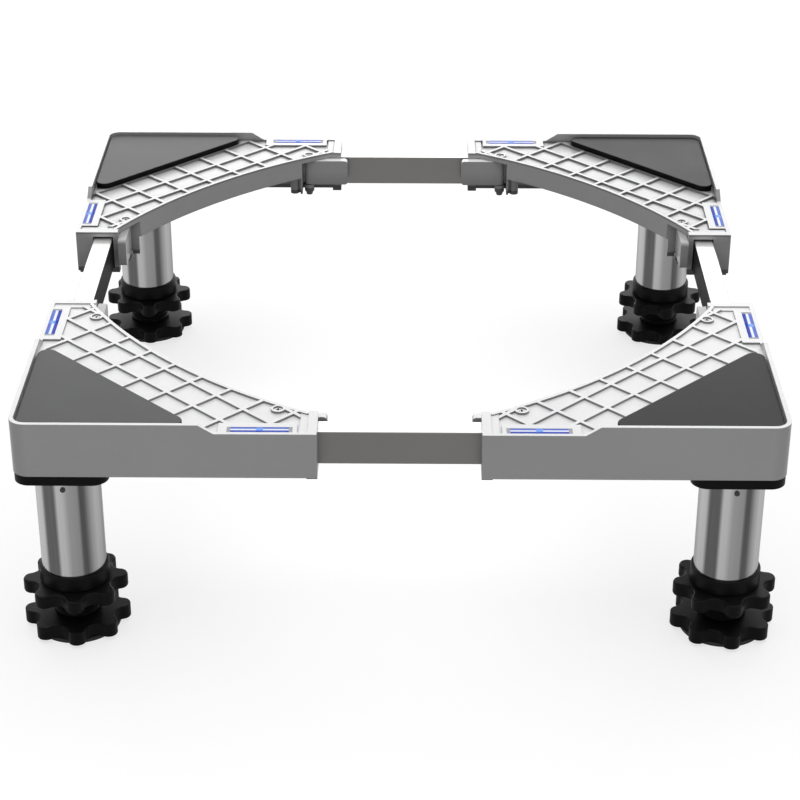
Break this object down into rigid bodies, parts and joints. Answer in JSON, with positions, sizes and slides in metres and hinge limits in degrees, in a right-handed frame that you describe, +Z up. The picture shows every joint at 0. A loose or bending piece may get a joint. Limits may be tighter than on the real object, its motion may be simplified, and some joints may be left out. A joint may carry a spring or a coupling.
{
  "type": "extendable washing machine stand",
  "caption": "Extendable appliance stand with corner trays on screw legs, joined by sliding steel tubes with latch levers.",
  "frame": {"origin": "on the floor, under the middle of the stand", "axes": "+X to the right, +Y from the front towards the back, +Z up; the front is the side at -Y"},
  "size_m": [0.5876, 0.6036, 0.1954],
  "materials": {
    "white_plastic": "satin white moulded plastic",
    "black_plastic": "satin black moulded plastic",
    "pad_rubber": "smooth dark grey rubber",
    "sole_rubber": "matte black rubber",
    "satin_steel": "satin stainless tube",
    "polished_steel": "polished stainless tube",
    "screw_steel": "plain steel",
    "clear_block": "clear block",
    "vial_liquid": "clear vial of blue liquid"
  },
  "bodies": {
    "corner_front_left": {"tray_front_left": "white_plastic", "rubber_pad_front_left": "pad_rubber", "leg_cap_front_left": "black_plastic", "leg_tube_front_left": "polished_steel", "thread_bush_front_left": "black_plastic", "level_cases_front_left": "clear_block", "level_vials_front_left": "vial_liquid", "pivot_screws_front_left": "screw_steel", "leg_screws_front_left": "screw_steel"},
    "corner_front_right": {"tray_front_right": "white_plastic", "rubber_pad_front_right": "pad_rubber", "leg_cap_front_right": "black_plastic", "leg_tube_front_right": "polished_steel", "thread_bush_front_right": "black_plastic", "level_cases_front_right": "clear_block", "level_vials_front_right": "vial_liquid", "pivot_screws_front_right": "screw_steel", "leg_screws_front_right": "screw_steel"},
    "corner_back_left": {"tray_back_left": "white_plastic", "rubber_pad_back_left": "pad_rubber", "leg_cap_back_left": "black_plastic", "leg_tube_back_left": "polished_steel", "thread_bush_back_left": "black_plastic", "level_cases_back_left": "clear_block", "level_vials_back_left": "vial_liquid", "pivot_screws_back_left": "screw_steel", "leg_screws_back_left": "screw_steel"},
    "corner_back_right": {"tray_back_right": "white_plastic", "rubber_pad_back_right": "pad_rubber", "leg_cap_back_right": "black_plastic", "leg_tube_back_right": "polished_steel", "thread_bush_back_right": "black_plastic", "level_cases_back_right": "clear_block", "level_vials_back_right": "vial_liquid", "pivot_screws_back_right": "screw_steel", "leg_screws_back_right": "screw_steel"},
    "tube_front": {"tube_front": "satin_steel"},
    "tube_back": {"tube_back": "satin_steel"},
    "tube_left": {"tube_left": "satin_steel"},
    "tube_right": {"tube_right": "satin_steel"},
    "latch_x_front_left": {"latch_x_front_left": "white_plastic"},
    "latch_y_front_left": {"latch_y_front_left": "white_plastic"},
    "lock_nut_front_left": {"lock_nut_front_left": "black_plastic"},
    "screw_foot_front_left": {"screw_foot_front_left": "black_plastic"},
    "rubber_sole_front_left": {"rubber_sole_front_left": "sole_rubber"},
    "latch_x_front_right": {"latch_x_front_right": "white_plastic"},
    "latch_y_front_right": {"latch_y_front_right": "white_plastic"},
    "lock_nut_front_right": {"lock_nut_front_right": "black_plastic"},
    "screw_foot_front_right": {"screw_foot_front_right": "black_plastic"},
    "rubber_sole_front_right": {"rubber_sole_front_right": "sole_rubber"},
    "latch_x_back_left": {"latch_x_back_left": "white_plastic"},
    "latch_y_back_left": {"latch_y_back_left": "white_plastic"},
    "lock_nut_back_left": {"lock_nut_back_left": "black_plastic"},
    "screw_foot_back_left": {"screw_foot_back_left": "black_plastic"},
    "rubber_sole_back_left": {"rubber_sole_back_left": "sole_rubber"},
    "latch_x_back_right": {"latch_x_back_right": "white_plastic"},
    "latch_y_back_right": {"latch_y_back_right": "white_plastic"},
    "lock_nut_back_right": {"lock_nut_back_right": "black_plastic"},
    "screw_foot_back_right": {"screw_foot_back_right": "black_plastic"},
    "rubber_sole_back_right": {"rubber_sole_back_right": "sole_rubber"}
  },
  "joints": [
    {"name": "width_adjust", "type": "slide", "parent": "corner_front_left", "child": "corner_front_right", "axis": [1, 0, 0], "range_m": [-0.102, 0.116]},
    {"name": "depth_adjust", "type": "slide", "parent": "corner_front_left", "child": "corner_back_left", "axis": [0, 1, 0], "range_m": [-0.118, 0.1]},
    {"name": "depth_adjust_right", "type": "slide", "parent": "corner_front_right", "child": "corner_back_right", "axis": [0, 1, 0], "range_m": [-0.119, 0.101]},
    {"name": "tube_front_slide", "type": "slide", "parent": "corner_front_left", "child": "tube_front", "axis": [1, 0, 0], "range_m": [-0.052, 0.059]},
    {"name": "tube_back_slide", "type": "slide", "parent": "corner_back_left", "child": "tube_back", "axis": [1, 0, 0], "range_m": [-0.052, 0.059]},
    {"name": "tube_left_slide", "type": "slide", "parent": "corner_front_left", "child": "tube_left", "axis": [0, 1, 0], "range_m": [-0.06, 0.051]},
    {"name": "tube_right_slide", "type": "slide", "parent": "corner_front_right", "child": "tube_right", "axis": [0, 1, 0], "range_m": [-0.06, 0.051]},
    {"name": "latch_x_front_left_turn", "type": "hinge", "parent": "corner_front_left", "child": "latch_x_front_left", "pos_m": [-0.0915, -0.2564, 0.17], "axis": [0, 0, 1], "range_deg": [0, 90]},
    {"name": "latch_y_front_left_turn", "type": "hinge", "parent": "corner_front_left", "child": "latch_y_front_left", "pos_m": [-0.2484, -0.0995, 0.17], "axis": [0, 0, -1], "range_deg": [0, 90]},
    {"name": "lock_nut_front_left_turn", "type": "hinge", "parent": "corner_front_left", "child": "lock_nut_front_left", "pos_m": [-0.253, -0.261, 0.0366], "axis": [0, 0, 1], "range_deg": [-90, 0]},
    {"name": "height_front_left", "type": "slide", "parent": "corner_front_left", "child": "rubber_sole_front_left", "axis": [0, 0, 1], "range_m": [-0.024, 0.012]},
    {"name": "screw_foot_front_left_turn", "type": "hinge", "parent": "rubber_sole_front_left", "child": "screw_foot_front_left", "pos_m": [-0.253, -0.261, 0.0087], "axis": [0, 0, 1], "range_deg": [-2161, 1081]},
    {"name": "latch_x_front_right_turn", "type": "hinge", "parent": "corner_front_right", "child": "latch_x_front_right", "pos_m": [0.0915, -0.2564, 0.17], "axis": [0, 0, -1], "range_deg": [0, 90]},
    {"name": "latch_y_front_right_turn", "type": "hinge", "parent": "corner_front_right", "child": "latch_y_front_right", "pos_m": [0.2484, -0.0995, 0.17], "axis": [0, 0, 1], "range_deg": [0, 90]},
    {"name": "lock_nut_front_right_turn", "type": "hinge", "parent": "corner_front_right", "child": "lock_nut_front_right", "pos_m": [0.253, -0.261, 0.0366], "axis": [0, 0, 1], "range_deg": [-90, 0]},
    {"name": "height_front_right", "type": "slide", "parent": "corner_front_right", "child": "rubber_sole_front_right", "axis": [0, 0, 1], "range_m": [-0.024, 0.012]},
    {"name": "screw_foot_front_right_turn", "type": "hinge", "parent": "rubber_sole_front_right", "child": "screw_foot_front_right", "pos_m": [0.253, -0.261, 0.0087], "axis": [0, 0, 1], "range_deg": [-2161, 1081]},
    {"name": "latch_x_back_left_turn", "type": "hinge", "parent": "corner_back_left", "child": "latch_x_back_left", "pos_m": [-0.0915, 0.2564, 0.17], "axis": [0, 0, -1], "range_deg": [0, 90]},
    {"name": "latch_y_back_left_turn", "type": "hinge", "parent": "corner_back_left", "child": "latch_y_back_left", "pos_m": [-0.2484, 0.0995, 0.17], "axis": [0, 0, 1], "range_deg": [0, 90]},
    {"name": "lock_nut_back_left_turn", "type": "hinge", "parent": "corner_back_left", "child": "lock_nut_back_left", "pos_m": [-0.253, 0.261, 0.0366], "axis": [0, 0, 1], "range_deg": [-90, 0]},
    {"name": "height_back_left", "type": "slide", "parent": "corner_back_left", "child": "rubber_sole_back_left", "axis": [0, 0, 1], "range_m": [-0.024, 0.012]},
    {"name": "screw_foot_back_left_turn", "type": "hinge", "parent": "rubber_sole_back_left", "child": "screw_foot_back_left", "pos_m": [-0.253, 0.261, 0.0087], "axis": [0, 0, 1], "range_deg": [-2161, 1081]},
    {"name": "latch_x_back_right_turn", "type": "hinge", "parent": "corner_back_right", "child": "latch_x_back_right", "pos_m": [0.0915, 0.2564, 0.17], "axis": [0, 0, 1], "range_deg": [0, 90]},
    {"name": "latch_y_back_right_turn", "type": "hinge", "parent": "corner_back_right", "child": "latch_y_back_right", "pos_m": [0.2484, 0.0995, 0.17], "axis": [0, 0, -1], "range_deg": [0, 90]},
    {"name": "lock_nut_back_right_turn", "type": "hinge", "parent": "corner_back_right", "child": "lock_nut_back_right", "pos_m": [0.253, 0.261, 0.0366], "axis": [0, 0, 1], "range_deg": [-90, 0]},
    {"name": "height_back_right", "type": "slide", "parent": "corner_back_right", "child": "rubber_sole_back_right", "axis": [0, 0, 1], "range_m": [-0.024, 0.012]},
    {"name": "screw_foot_back_right_turn", "type": "hinge", "parent": "rubber_sole_back_right", "child": "screw_foot_back_right", "pos_m": [0.253, 0.261, 0.0087], "axis": [0, 0, 1], "range_deg": [-2161, 1081]}
  ],
  "couplings": [
    {"joint": "depth_adjust_right", "follows": "depth_adjust", "ratio": 1},
    {"joint": "tube_front_slide", "follows": "width_adjust", "ratio": 0.5},
    {"joint": "tube_back_slide", "follows": "width_adjust", "ratio": 0.5},
    {"joint": "tube_left_slide", "follows": "depth_adjust", "ratio": 0.5},
    {"joint": "tube_right_slide", "follows": "depth_adjust", "ratio": 0.5},
    {"joint": "screw_foot_front_left_turn", "follows": "height_front_left", "rad_per_m": 1570.8},
    {"joint": "screw_foot_front_right_turn", "follows": "height_front_right", "rad_per_m": 1570.8},
    {"joint": "screw_foot_back_left_turn", "follows": "height_back_left", "rad_per_m": 1570.8},
    {"joint": "screw_foot_back_right_turn", "follows": "height_back_right", "rad_per_m": 1570.8}
  ]
}
